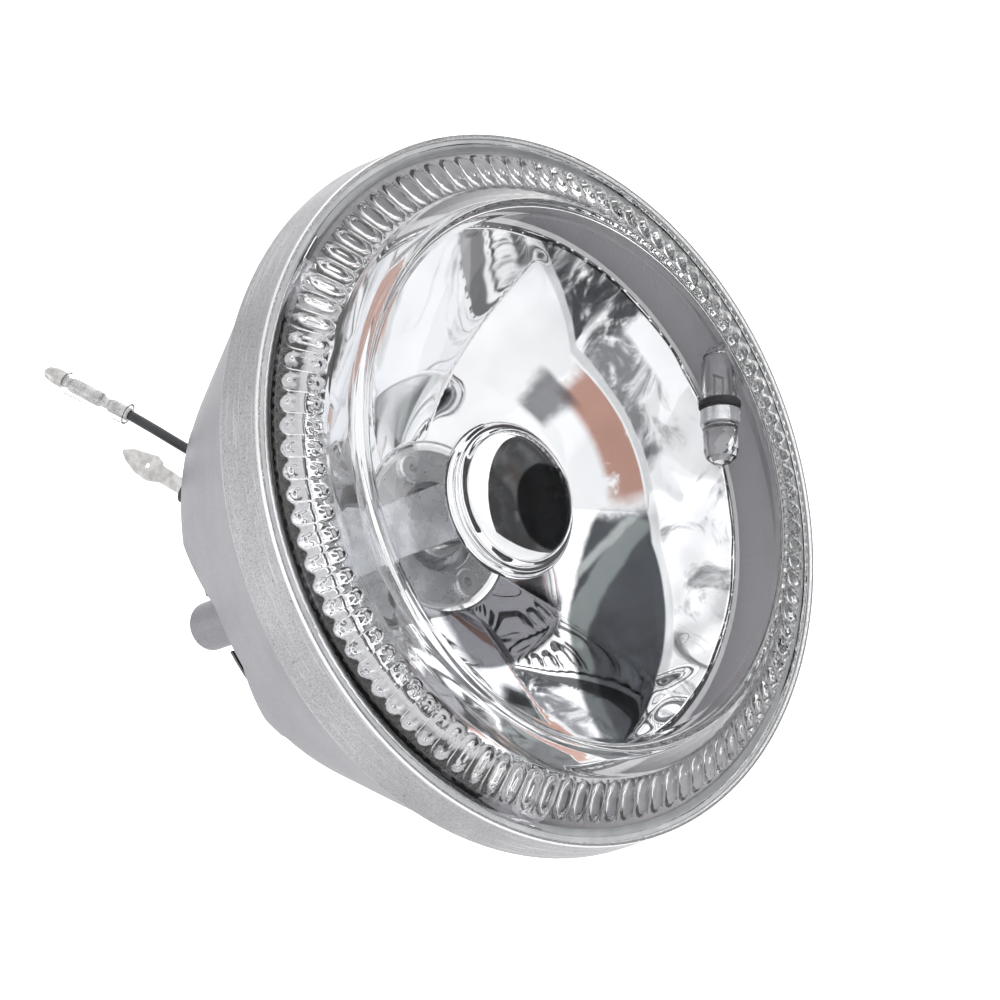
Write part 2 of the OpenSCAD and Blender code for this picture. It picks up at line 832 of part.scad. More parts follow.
housing();
lens();
lens_seal();
reflector();
reflector_screws();
shield_cap();
shield_bracket();
shield_rivets();
bulb_flange();
bulb_glass();
bulb_filament();
bulb_insulator();
bulb_pigtail();
bulb_clip();
clip_bracket();
clip_catch();
clip_screws();
marker_glass();
marker_filament();
marker_seal();
marker_holder();
marker_bracket();
rear_cover();
cover_gasket();
cover_screws();
bulb_cap();
cap_seal();
grommet();
lead();
bullet_terminal();
terminal_sleeve();
tab_boot();
ground_tab();
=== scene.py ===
# %% [markdown]
# # A round clear-lens fog light
# The lamp is a painted metal bowl with a clear moulded lens, a mirror and a chrome shield inside it.
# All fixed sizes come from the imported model, so this lesson starts by loading it, and keeps its box.

import math

import bmesh
import bpy
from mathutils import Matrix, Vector


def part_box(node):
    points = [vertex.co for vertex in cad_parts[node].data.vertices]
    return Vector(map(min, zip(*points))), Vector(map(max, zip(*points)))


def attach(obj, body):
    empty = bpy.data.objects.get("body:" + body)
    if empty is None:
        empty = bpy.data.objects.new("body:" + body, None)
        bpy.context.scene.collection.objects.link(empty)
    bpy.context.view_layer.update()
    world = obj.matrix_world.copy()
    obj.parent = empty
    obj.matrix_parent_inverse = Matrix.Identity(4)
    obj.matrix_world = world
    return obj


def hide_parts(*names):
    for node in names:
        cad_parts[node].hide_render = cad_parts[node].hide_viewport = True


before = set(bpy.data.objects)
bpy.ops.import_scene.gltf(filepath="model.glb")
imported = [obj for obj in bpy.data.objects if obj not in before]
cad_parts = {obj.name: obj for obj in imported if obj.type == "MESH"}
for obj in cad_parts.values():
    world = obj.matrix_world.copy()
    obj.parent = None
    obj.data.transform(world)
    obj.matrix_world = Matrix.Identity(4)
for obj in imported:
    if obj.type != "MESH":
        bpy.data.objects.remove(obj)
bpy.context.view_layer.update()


def in_scene(name, data):
    """A new object in the scene."""
    made = bpy.data.objects.new(name, data)
    bpy.context.scene.collection.objects.link(made)
    return made


lip_centre = Vector((0.0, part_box("housing")[0].y, 0.0))
lip_mm = -1000 * lip_centre.y

# %% [markdown]
# ## Camera
# A camera is an object with a place and a direction. Here it stands in front of the lip, to the left and
# low, so that the lens, one side of the bowl and one boss are all seen. Three unit vectors are enough to
# describe that: back (from the lamp to the camera), right and up.

# %% Place the camera
turn, lift = math.radians(-39.44), math.radians(-17.82)
distance, slide_right, slide_up = 0.450, -0.01431, -0.00456
back = Vector((math.sin(turn) * math.cos(lift), -math.cos(turn) * math.cos(lift), math.sin(lift)))
right = Vector((math.cos(turn), math.sin(turn), 0.0))
up = back.cross(right)
camera = in_scene("camera", bpy.data.cameras.new("camera"))
camera.data.sensor_width = 36.0
camera.data.lens = 73.93
camera.data.clip_start = 0.01
camera.location = lip_centre + distance * back + slide_right * right + slide_up * up
camera.rotation_euler = (-back).to_track_quat("-Z", "Y").to_euler()
bpy.context.scene.camera = camera
print("camera at", tuple(round(value, 4) for value in camera.location))

# %% [markdown]
# ## The lead
# The lead is a short stiff wire that leaves the grommet and rises to its bullet terminal. A curve with a
# round bevel is the natural tool for wire: the line is the wire's centre and the bevel is its radius. The
# few known points are joined with a Catmull-Rom curve, which passes through each of them smoothly. The
# curve is turned into a mesh at once, because a mesh knows its own box exactly.

# %% Draw the lead
lead_points_mm = [
    (-44, -4, 5), (-44.1, -2.6, 5.3), (-44.9, -0.7, 6.6), (-46.8, 0.9, 8.8), (-49.4, 2.6, 11.2),
    (-52.4, 4.6, 13.6), (-55.6, 7, 16), (-58.5, 9.3, 18.3), (-61.3, 11.6, 20.5), (-64, 14, 22.7),
]


def smooth_route(points, steps):
    """Points on a Catmull-Rom curve through the given points."""
    ends = [2 * points[0] - points[1]] + list(points) + [2 * points[-1] - points[-2]]
    route = []
    for i in range(1, len(ends) - 2):
        a, b, c, d = ends[i - 1 : i + 3]
        for k in range(steps):
            t = k / steps
            route.append(0.5 * (
                2 * b + (c - a) * t
                + (2 * a - 5 * b + 4 * c - d) * t**2
                + (3 * b - a - 3 * c + d) * t**3
            ))
    return route + [points[-1]]


def wire_curve(name, route, radius):
    """A round wire whose centre follows the route, as a mesh."""
    curve = bpy.data.curves.new(name, "CURVE")
    curve.dimensions = "3D"
    curve.bevel_depth = radius
    curve.bevel_resolution = 6
    curve.use_fill_caps = True
    line = curve.splines.new("POLY")
    line.points.add(len(route) - 1)
    for point, place in zip(line.points, route):
        point.co = (*place, 1.0)
    line.use_smooth = True
    drawn = bpy.data.objects.new(name + "_line", curve)
    tube = bpy.data.meshes.new_from_object(drawn)
    bpy.data.objects.remove(drawn)
    tube.polygons.foreach_set("use_smooth", [True] * len(tube.polygons))
    return in_scene(name, tube)


lead_radius = 0.0012
lead_route = smooth_route([Vector(point) / 1000 for point in lead_points_mm], steps=3)
lead_length = sum((b - a).length for a, b in zip(lead_route, lead_route[1:]))
lead_wire = wire_curve("lead_wire", lead_route, lead_radius)
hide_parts("lead")
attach(lead_wire, "lamp")
print("lead length mm:", round(1000 * lead_length, 1))

# %% [markdown]
# ## Shader maths in plain Python
# A procedural finish is a small network of nodes. Wiring it by hand is long, so one class wraps a socket
# and turns + - * / into Math nodes, and one method makes any other node from its type, its settings and
# the values of its sockets. The rest of the lesson then reads like arithmetic.

# %% Helpers for finishes


class Wire:
    """An output socket. Arithmetic on it adds Math nodes."""

    def __init__(self, network, socket):
        self.network, self.socket = network, socket

    def math(self, operation, *others):
        return self.network.node("ShaderNodeMath", {"operation": operation}, [self, *others])

    def __add__(self, other):
        return self.math("ADD", other)

    def __mul__(self, other):
        return self.math("MULTIPLY", other)

    def __sub__(self, other):
        return self.math("SUBTRACT", other)

    def __rsub__(self, other):
        return self.network.node("ShaderNodeMath", {"operation": "SUBTRACT"}, [other, self])

    def __truediv__(self, other):
        return self.math("DIVIDE", other)

    __radd__ = __add__
    __rmul__ = __mul__

    def step(self, low, high, a=0.0, b=1.0):
        """Goes smoothly from a to b while the value goes from low to high."""
        values = {"Value": self, "From Min": low, "From Max": high, "To Min": a, "To Max": b}
        return self.network.node("ShaderNodeMapRange", {"interpolation_type": "SMOOTHSTEP"}, values)


class Network:
    """Adds nodes to one node tree."""

    def __init__(self, tree):
        self.tree = tree
        tree.nodes.clear()

    def node(self, kind, settings=None, values=None, out=0):
        made = self.tree.nodes.new(kind)
        for key, value in (settings or {}).items():
            setattr(made, key, value)
        pairs = (values or {}).items() if isinstance(values, dict) or values is None else enumerate(values)
        for key, value in pairs:
            if isinstance(value, Wire):
                self.tree.links.new(value.socket, made.inputs[key])
            else:
                made.inputs[key].default_value = value
        return Wire(self, made.outputs[out])

    def mix(self, factor, a, b):
        """Goes from colour a to colour b as factor goes from 0 to 1."""
        return self.node("ShaderNodeMix", {"data_type": "RGBA"}, {0: factor, 6: a, 7: b}, out=2)

    def axis(self, vector, index):
        return self.node("ShaderNodeSeparateXYZ", None, [vector], out=index)

    def dot(self, vector, direction):
        return self.node("ShaderNodeVectorMath", {"operation": "DOT_PRODUCT"}, [vector, direction], out=1)


class Finish(Network):
    """One material: a Principled shader and what feeds it."""

    def __init__(self, name, **constants):
        self.material = bpy.data.materials.new(name)
        self.material.use_nodes = True
        super().__init__(self.material.node_tree)
        self.place = self.node("ShaderNodeTexCoord", None, None, out=3)
        self.shader = self.tree.nodes.new("ShaderNodeBsdfPrincipled")
        surface = self.tree.nodes.new("ShaderNodeOutputMaterial")
        self.tree.links.new(self.shader.outputs[0], surface.inputs["Surface"])
        self.set(**constants)

    def set(self, **values):
        for key, value in values.items():
            socket = self.shader.inputs[key.replace("_", " ")]
            if isinstance(value, Wire):
                self.tree.links.new(value.socket, socket)
            else:
                socket.default_value = value

    def stretched(self, x, y, z):
        return self.node("ShaderNodeVectorMath", {"operation": "MULTIPLY"}, [self.place, (x, y, z)])

    def radius_mm(self):
        """Distance from the lamp's axis, in mm."""
        flat = self.stretched(1000.0, 0.0, 1000.0)
        return self.node("ShaderNodeVectorMath", {"operation": "LENGTH"}, [flat], out=1)

    def clock_angle(self):
        """Angle round the lamp's axis in degrees, 0 at +X and 90 at +Z."""
        across, height = self.axis(self.place, 0), self.axis(self.place, 2)
        return self.node("ShaderNodeMath", {"operation": "ARCTAN2"}, [height, across]) * 57.29578

    def noise(self, scale, detail=2.0, rough=0.5, vector=None):
        values = {"Vector": vector or self.place, "Scale": scale, "Detail": detail, "Roughness": rough}
        return self.node("ShaderNodeTexNoise", None, values)

    def bump(self, height, strength, distance):
        values = {"Strength": strength, "Distance": distance, "Height": height}
        self.set(Normal=self.node("ShaderNodeBump", None, values))


def wear(name, finish):
    """Puts the finish on every slot of a node."""
    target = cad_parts[name]
    if not target.data.materials:
        target.data.materials.append(finish.material)
    for slot in target.material_slots:
        slot.material = finish.material


print("finish helpers ready")

# %% [markdown]
# ## Silver paint on the bowl
# The bowl is pressed metal under a satin silver paint. Such paint holds tiny flakes, so it is a rough metal
# with a fine grain rather than a grey plastic. A cloudy noise varies the tone, a fine noise gives the grain,
# and rub marks that follow the band come from a noise that is squeezed along the lamp's axis. Light and shade
# are painted into the colour as well: the front band is painted paler than the cone behind it, the lip paler
# still as a painted highlight, and the wall inside the cone nearly white as painted light.

# %% Mix the silver paint
silver = Finish("silver_satin_paint", Specular_IOR_Level=0.5)
cloud = silver.noise(38.0, 4.0, 0.6)
grain = silver.noise(2600.0, 2.0, 0.6)
flecks = silver.noise(900.0, 3.0, 0.7)
rubbed = silver.noise(1.0, 3.0, 0.65, silver.stretched(45.0, 1500.0, 45.0))
band_depth = silver.axis(silver.place, 1)
on_band = band_depth.step(-0.0545, -0.0535, 1.0, 0.0)
on_lip = band_depth.step(-0.0657, -0.0650, 1.0, 0.0)
# painted light and shade: the cone's tones are set darker and the band's paler, for how light falls on each
cone_dark, cone_pale = (0.25, 0.245, 0.27, 1), (0.31, 0.305, 0.33, 1)
band_dark, band_pale = (0.42, 0.415, 0.43, 1), (0.52, 0.515, 0.53, 1)
rub_shine, chip_dark = (0.72, 0.72, 0.74, 1), (0.16, 0.16, 0.17, 1)
rub_marks = rubbed.step(0.54, 0.64) * on_band * cloud.step(0.36, 0.56)
chips = flecks.step(0.66, 0.70) * on_band
tone = silver.mix(cloud.step(0.3, 0.7), cone_dark, cone_pale)
tone = silver.mix(on_band, tone, silver.mix(cloud.step(0.3, 0.7), band_dark, band_pale))
tone = silver.mix(grain.step(0.35, 0.75) * 0.6, tone, (0.20, 0.195, 0.215, 1))
tone = silver.mix(rub_marks * 0.4, tone, rub_shine)
tone = silver.mix(chips * 0.8, tone, chip_dark)
# painted highlight: the lip is painted near white along the rim
tone = silver.mix(on_lip, tone, (0.92, 0.92, 0.93, 1))
spread = silver.radius_mm()
# the cone narrows by wall_slope mm for each mm of depth, so inside its wall this sum stays below 84
wall_slope = 0.4082
cone = spread + (band_depth * 1000 + lip_mm) * wall_slope
# painted light: the wall inside the cone is painted nearly white and made less metallic below
inside = cone.step(84.0, 84.4, 1.0, 0.0) * spread.step(79.4, 79.8, 1.0, 0.0)
inside = inside * band_depth.step(-0.0600, -0.0595) * band_depth.step(-0.0300, -0.0290, 1.0, 0.0)
tone = silver.mix(inside, tone, (0.93, 0.91, 0.95, 1))
silver.set(Base_Color=tone, Roughness=0.42 - rub_marks * 0.12 - on_lip * 0.2 + grain * 0.08)
silver.set(Metallic=0.85 - inside * 0.75)
silver.bump(grain * 0.6 + flecks * 0.5 - rub_marks * 0.5, 0.5, 0.00022)
wear("housing", silver)
print("painted the housing")

# %% [markdown]
# ## Chrome, plated steel and spring steel
# Bright metals get their looks from what they reflect, so their finish is nearly smooth, with faint
# polishing marks. Plated brackets are duller and a little cloudy, because zinc grows in tiny crystals. The
# domed shield carries a painted reflection: a dark round patch off its centre, for what such a dome mirrors.

# %% Polish the metals


def bright_metal(name, colour, other, rough, marks, cloudiness=60.0):
    finish = Finish(name, Metallic=1.0)
    cloud = finish.noise(cloudiness, 4.0, 0.6)
    fine = finish.noise(1400.0, 2.0, 0.6)
    finish.set(Base_Color=finish.mix(cloud.step(0.35, 0.65), colour, other))
    finish.set(Roughness=cloud.step(0.3, 0.75, rough, rough * 1.7 + 0.02))
    finish.bump(fine, marks, 0.00004)
    return finish


zinc = bright_metal("bright_zinc_plate", (0.86, 0.86, 0.88, 1), (0.72, 0.73, 0.76, 1), 0.2, 0.25, 240.0)
zinc.set(Metallic=0.6)
springy = bright_metal("spring_steel_wire", (0.62, 0.62, 0.64, 1), (0.5, 0.5, 0.52, 1), 0.22, 0.3)
tinned = bright_metal("tinned_brass", (0.60, 0.59, 0.58, 1), (0.42, 0.41, 0.40, 1), 0.28, 0.5, 420.0)
glow_wire = bright_metal("tungsten_wire", (0.35, 0.34, 0.33, 1), (0.26, 0.25, 0.25, 1), 0.35, 0.4)
cap_shine = Finish("shield_mirror_chrome", Metallic=1.0)
swirl_marks = cap_shine.noise(70.0, 3.0, 0.6)
to_edge = cap_shine.radius_mm()
# painted reflection: a dark round patch on the shield's dome, off its centre
patch_shift_mm, patch_radius_mm = (-6.4, 0.0, 1.6), 9.6
flat_mm = cap_shine.stretched(1000.0, 0.0, 1000.0)
shifted = cap_shine.node("ShaderNodeVectorMath", {"operation": "ADD"}, [flat_mm, patch_shift_mm])
off_centre = cap_shine.node("ShaderNodeVectorMath", {"operation": "LENGTH"}, [shifted], out=1)
painted_dark_reflection = (off_centre + (swirl_marks - 0.5) * 2.0).step(patch_radius_mm, patch_radius_mm + 1, 1.0, 0.0)
painted_dark_reflection = painted_dark_reflection * to_edge.step(14.0, 14.8, 1.0, 0.0)
cap_shine.set(Base_Color=cap_shine.mix(painted_dark_reflection * 0.93, (0.93, 0.93, 0.94, 1), (0.035, 0.038, 0.045, 1)))
cap_shine.set(Roughness=swirl_marks.step(0.3, 0.8, 0.02, 0.06))
cap_shine.bump(cap_shine.noise(1400.0), 0.05, 0.00003)
for piece in ("shield_bracket", "shield_rivets", "reflector_screws", "cover_screws", "clip_screws",
              "clip_bracket", "clip_catch", "marker_bracket", "bulb_flange"):
    wear(piece, zinc)
wear("bulb_clip", springy)
wear("bullet_terminal", tinned)
wear("ground_tab", tinned)
for piece in ("bulb_filament", "marker_filament"):
    wear(piece, glow_wire)
print("metals done")

# %% [markdown]
# ## Black and grey parts
# Rubber is dull and slightly dusty, moulded plastic has a fine spark-eroded grain, and the sealant that
# holds the lens is a smooth grey bead. They share one recipe: a dark colour, a paler one where dust lies,
# and a grain for the surface.

# %% Mould the rubber and plastic


def moulded(name, colour, dusty, rough, grain_scale, grain_depth):
    finish = Finish(name, Specular_IOR_Level=0.5)
    dust = finish.noise(120.0, 4.0, 0.65)
    grain = finish.noise(grain_scale, 3.0, 0.6)
    finish.set(Base_Color=finish.mix(dust.step(0.4, 0.75), colour, dusty))
    finish.set(Roughness=dust.step(0.3, 0.8, rough, rough + 0.18))
    finish.bump(grain, 0.4, grain_depth)
    return finish


rubber = moulded("black_rubber", (0.016, 0.016, 0.018, 1), (0.05, 0.05, 0.055, 1), 0.5, 1500.0, 0.0001)
plastic = moulded("black_plastic", (0.008, 0.008, 0.009, 1), (0.017, 0.017, 0.018, 1), 0.42, 1100.0, 0.00012)
sheath = moulded("lead_sheath", (0.012, 0.013, 0.016, 1), (0.03, 0.035, 0.045, 1), 0.22, 700.0, 0.00006)
sealant = moulded("grey_sealant", (0.44, 0.45, 0.46, 1), (0.58, 0.59, 0.60, 1), 0.3, 260.0, 0.0002)
ceramic = moulded("brown_insulator", (0.20, 0.09, 0.04, 1), (0.30, 0.15, 0.08, 1), 0.45, 900.0, 0.0001)
for piece in ("marker_seal", "cover_gasket", "cap_seal", "grommet", "tab_boot"):
    wear(piece, rubber)
for piece in ("rear_cover", "bulb_cap"):
    wear(piece, plastic)
wear("bulb_pigtail", sheath)
wear("lens_seal", sealant)
wear("bulb_insulator", ceramic)
lead_wire.data.materials.append(sheath.material)
print("rubber and plastic done")

# %% [markdown]
# ## Clear parts
# Glass and clear plastic are one shader with full transmission and the right index of refraction. Their
# detail is in the surface: very faint ripples from moulding, which bend the highlights a little.

# %% Melt the clear materials


def clear(name, colour, ior, rough, ripple, ripple_scale):
    finish = Finish(name, Transmission_Weight=1.0, IOR=ior)
    haze = finish.noise(90.0, 3.0, 0.6)
    finish.set(Base_Color=finish.mix(haze.step(0.3, 0.8), colour, (0.97, 0.98, 0.99, 1)))
    finish.set(Roughness=haze.step(0.45, 0.85, rough, rough + 0.03))
    finish.bump(finish.noise(ripple_scale, 2.0, 0.5), 0.2, ripple)
    return finish


lens_clear = clear("lens_clear", (1.0, 1.0, 1.0, 1), 1.49, 0.0, 0.00005, 60.0)
bulb_clear = clear("bulb_glass_clear", (0.99, 0.99, 1.0, 1), 1.47, 0.0, 0.00008, 160.0)
holder_clear = clear("holder_clear", (0.96, 0.96, 0.97, 1), 1.49, 0.04, 0.0001, 200.0)
sleeve_clear = clear("sleeve_clear", (0.95, 0.95, 0.96, 1), 1.45, 0.06, 0.00015, 220.0)
wear("bulb_glass", bulb_clear)
wear("marker_glass", bulb_clear)
wear("marker_holder", holder_clear)
wear("terminal_sleeve", sleeve_clear)
print("clear parts done")

# %% [markdown]
# ## Shapes from rings
# The lens, the mirror and the shield cup are built from rings of points round the lamp's axis. What they
# share is in four small functions: one places a point, two add the faces between two rings or between a
# ring and a tip, and one makes an object of the closed shape, with its faces outwards and smooth.

# %% Helpers for shapes


def on_lamp(radius, angle, depth):
    """The place at a radius, an angle round the axis and a depth behind the lip, from mm and radians."""
    return radius * math.cos(angle) / 1000, lip_centre.y + depth / 1000, radius * math.sin(angle) / 1000


def join_rings(shape, a, b):
    """Faces between two rings with equally many points."""
    for k in range(len(a)):
        shape.faces.new((a[k], a[(k + 1) % len(a)], b[(k + 1) % len(a)], b[k]))


def close_ring(shape, ring, tip):
    """Faces between a ring and one point on the axis."""
    for k in range(len(ring)):
        shape.faces.new((ring[k], ring[(k + 1) % len(ring)], tip))


def smooth_piece(name, shape):
    """An object made of the shape, with its faces outwards and smooth."""
    bmesh.ops.recalc_face_normals(shape, faces=shape.faces)
    mesh = bpy.data.meshes.new(name)
    shape.to_mesh(mesh)
    shape.free()
    mesh.polygons.foreach_set("use_smooth", [True] * len(mesh.polygons))
    return in_scene(name, mesh)


print("shape helpers ready")

# %% [markdown]
# ## The lens
# The lens is one moulding: a flange in the sealant, a ring of 99 prisms, a smooth ring, a ridge and a
# shallow dome. It is turned like a pot from a front and a back profile, and the prisms are raised on the
# front as the profile goes round: each is a long oval blister, pointed at both ends.

# %% Turn the lens and raise its prisms
prism_count = 99
slope_out, slope_in = (74.9, -0.15), (66.2, -4.4)
slope_first, slope_rings, dome_rings = 5, 30, 14
dome_front, dome_behind = -15.5, -12.5
prism_part, blister_rise, core_rise = 0.90, 0.95, 0.45
flute_edge, flute_length, flute_deep = 74.0, 8.4, 0.75
# the slope's own direction outwards and forwards, in which prisms and flutes rise
rise_out, rise_forward = 0.447, 0.894


def polyline(points, counts):
    """Even points on each straight stretch between the given points."""
    out = []
    for (a, b), count in zip(zip(points, points[1:]), counts):
        out += [(a[0] + (b[0] - a[0]) * k / count, a[1] + (b[1] - a[1]) * k / count) for k in range(count)]
    return out + [points[-1]]


def dome(radius, edge, centre, count):
    """Profile of a shallow dome from its edge to just beside its centre."""
    shares = [math.cos(0.5 * math.pi * k / count) for k in range(count)]
    return [(radius * share, edge + (centre - edge) * (1 - share**2)) for share in shares]


front = polyline([(77.8, 3.4), (77.8, 0.1), (75.2, 0.1), slope_out, slope_in], [2, 2, 1, slope_rings])
front += polyline([(66.0, -4.7), (64.3, -6.4), (62.0, -8.7), (61.4, -9.4), (60.9, -9.5), (60.4, -9.2)],
                  [2, 3, 1, 1, 1])
front += dome(59.8, -8.9, dome_front, dome_rings)
behind = polyline([(77.8, 3.4), (74.4, 3.3), (64.6, -1.2), (60.6, -5.2), (59.6, -5.7)], [2, 20, 5, 1])[1:]
behind += dome(58.2, -5.6, dome_behind, dome_rings)


def prism_height(radius, share):
    """Height in mm of the prisms at a radius, share of a pitch from the middle of a tooth (-0.5 to 0.5)."""
    s = (slope_out[0] - radius) / (slope_out[0] - slope_in[0])
    across = 2 * abs(share)
    if 0.0 < s < prism_part:
        along = abs(2 * s / prism_part - 1)
        width = max(0.001, 1 - along**2.6) ** 0.5
        blister = blister_rise * (1 - along**4) * max(0.0, 1 - (across / width) ** 2) ** 0.5
        core = 1 - (across / 0.55) ** 2 - (along / 0.72) ** 2
        return blister + core_rise * min(1.0, max(0.0, core) * 3) ** 0.5
    return 0.0


def groove_depth(radius, share):
    """Depth in mm of the sharp flutes on the back of the prism ring."""
    s = (flute_edge - radius) / flute_length
    if 0.0 < s < 1.0:
        return flute_deep * math.sin(math.pi * s) ** 0.5 * (1 - 2 * abs(abs(2 * share) - 0.5))
    return 0.0


def turned_lens(name, around):
    """The lens as one closed mesh, from its outer edge over the front to the centre and back behind."""
    shape = bmesh.new()
    rings = []
    last_front = len(front) - 1
    prism_rows = range(slope_first, slope_first + slope_rings)
    for index, (radius, depth) in enumerate(front + behind[::-1]):
        ring = []
        for k in range(around):
            share = (k * prism_count / around) % 1.0 - 0.5
            raised = prism_height(radius, share) if index in prism_rows else 0.0
            if index > last_front + dome_rings:
                raised = groove_depth(radius, share)
            wider, deeper = radius + rise_out * raised, depth - rise_forward * raised
            ring.append(shape.verts.new(on_lamp(wider, 2 * math.pi * k / around, deeper)))
        rings.append(ring)
    for index in range(len(rings)):
        if index != last_front:
            join_rings(shape, rings[index], rings[(index + 1) % len(rings)])
    for ring, depth in ((rings[last_front], dome_front), (rings[last_front + 1], dome_behind)):
        close_ring(shape, ring, shape.verts.new(on_lamp(0, 0, depth)))
    return smooth_piece(name, shape)


lens_shell = turned_lens("prism_lens", around=prism_count * 10)
lens_shell.data.materials.append(lens_clear.material)
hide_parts("lens")
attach(lens_shell, "lamp")
# light goes straight through to the dull parts behind, which spares them the noise of bent light
lens_shell.visible_shadow = False
for clear_part in ("bulb_glass", "marker_glass", "marker_holder", "terminal_sleeve"):
    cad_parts[clear_part].visible_shadow = False
print("lens faces:", len(lens_shell.data.polygons))

# %% [markdown]
# ## The mirror
# The mirror is a bowl with soft petals pressed into it, each one aiming its share of the light. The plain
# bowl is already there, so only the bright face is made here: a thin skin in front of it whose depth is
# the bowl's curve plus a bulge for each petal, with a crease between neighbours and a rippled outer band.

# %% Press the petals of the mirror
# where the petals meet, in degrees round the axis, and how far each petal leans
petal_edges = [-172, -128, -72, -36, 10, 58, 92, 136]
petal_leans = [0.5, -0.6, 0.7, -0.5, 0.6, -0.7, 0.5, -0.4]
step_least, step_low_rise, step_top_rise, step_top_angle = 49.4, 0.16, 0.39, 62.0
bowl_floor, focal_length = 52, 22.9
mirror_inside, mirror_outside, skin_gap = 20.5, 61.0, 0.12


def step_radius(angle):
    """Radius in mm of the step between the petals and the rippled outer band; past 61 there is no band."""
    return step_least + step_low_rise * max(0.0, -angle) + step_top_rise * max(0.0, angle - step_top_angle)


def bowl_depth(radius):
    """Depth in mm behind the lip of the plain bowl, which is a parabola."""
    return bowl_floor - radius**2 / (4 * focal_length)


def petal_height(radius, angle):
    """How far the petals stand in front of the bowl, in mm."""
    swirl = angle + 0.42 * (radius - 45)
    edges = [edge + 360 * turn for turn in (-1, 0, 1, 2) for edge in petal_edges]
    low = max(edge for edge in edges if edge <= swirl)
    high = min(edge for edge in edges if edge > swirl)
    share = (swirl - low) / (high - low)
    lean = petal_leans[edges.index(low) % len(petal_edges)]
    bulge = math.sin(math.pi * share) ** 0.8 * (1.6 + 0.5 * lean) + lean * (share - 0.5) * 0.8
    fade = min(1.0, max(0.0, (radius - 21) / 14))
    inner = 0.35 + max(0.0, bulge + 0.5) * fade * 0.8
    rim = 1 / (1 + math.exp(-max(-40.0, min(40.0, (radius - step_radius(angle)) / 0.45))))
    wander = 2 * math.sin(math.radians(angle) * 5)
    ripple = 0.30 * math.sin(math.radians(angle) * 17) * math.sin((radius - 50) * 0.8 + wander)
    outer = 1.3 + ripple + 0.05 * (radius - 50)
    return inner * (1 - rim) + outer * rim


def mirror_skin(name, rings_wanted, around):
    """A thin closed skin: its front has the petals, and its back follows the plain bowl."""
    shape = bmesh.new()
    rings = []
    width = mirror_outside - mirror_inside
    radii = [mirror_inside + width * k / rings_wanted for k in range(rings_wanted + 1)]
    for radius, proud in [(r, True) for r in radii] + [(r, False) for r in reversed(radii)]:
        ring = []
        for k in range(around):
            angle = 360.0 * k / around - 180.0
            depth = bowl_depth(radius) - (skin_gap + (petal_height(radius, angle) if proud else 0.0))
            ring.append(shape.verts.new(on_lamp(radius, math.radians(angle), depth)))
        rings.append(ring)
    for index in range(len(rings)):
        join_rings(shape, rings[index], rings[(index + 1) % len(rings)])
    return smooth_piece(name, shape)


petals = mirror_skin("mirror_petals", rings_wanted=80, around=480)
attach(petals, "lamp")
print("mirror faces:", len(petals.data.polygons))

# %% [markdown]
# ## The mirror's coat
# A mirror shows what stands round it, and in use that is mostly a bright room with a few dark and
# copper-coloured things on one side. This studio has too little to reflect for that, so those reflections are
# painted into the coat, as pieces of rings and straight stripes with wavy edges. They belong to the surface,
# so they stay where they are when the view turns. Radii are in mm and angles in degrees.

# %% Coat the mirror
mirror = Finish("mirror_coat", Metallic=1.0)
streak = mirror.noise(26.0, 3.0, 0.6)
marble = mirror.noise(75.0, 4.0, 0.65)
radius, angle = mirror.radius_mm(), mirror.clock_angle()
wavy = angle + (marble - 0.5) * 10


def sector(start, end, inner, outer, soft=1.5):
    """1 inside a piece of ring between two angles and two radii, 0 outside it."""
    turned = wavy.step(start - soft, start + soft) * wavy.step(end - soft, end + soft, 1.0, 0.0)
    return turned * radius.step(inner - 0.6, inner + 0.6) * radius.step(outer - 0.6, outer + 0.6, 1.0, 0.0)


def stripe(ax, az, bx, bz, width):
    """1 on a straight band of that width between two points of the mirror, in mm."""
    length = math.hypot(bx - ax, bz - az)
    ux, uz = (bx - ax) / length, (bz - az) / length
    along = mirror.dot(mirror.place, (1000 * ux, 0, 1000 * uz)) - (ax * ux + az * uz)
    across = mirror.dot(mirror.place, (-1000 * uz, 0, 1000 * ux)) - (az * ux - ax * uz) + (marble - 0.5) * 2.5
    near = across.math("ABSOLUTE").step(width / 2 - 0.5, width / 2 + 0.5, 1.0, 0.0)
    return near * along.step(-1.0, 0.5) * along.step(length - 1.0, length + 2.0, 1.0, 0.0)


# the step's radius again, this time as shader maths
step_low = (-1 * angle).math("MAXIMUM", 0.0) * step_low_rise
step_top = (angle - step_top_angle).math("MAXIMUM", 0.0) * step_top_rise
step_mm = step_least + step_low + step_top
from_step = radius - step_mm
# painted reflection: the large dark zone on the lower right of the mirror, black mottled with charcoal
sideways = mirror.dot(mirror.place, (1000.0, 0.0, -280.0)) + (marble - 0.5) * 2.0
dark_reflection_zone = sideways.step(35.9, 37.3) * from_step.step(-1.0, -0.2, 1.0, 0.0) * wavy.step(8.0, 13.0, 1.0, 0.0)
right_side = wavy.step(-72.0, -68.0) * wavy.step(88.0, 94.0, 1.0, 0.0)
band = from_step.step(0.2, 1.0) * right_side
near_step = from_step.step(-0.9, -0.4) * from_step.step(0.4, 0.9, 1.0, 0.0) * right_side
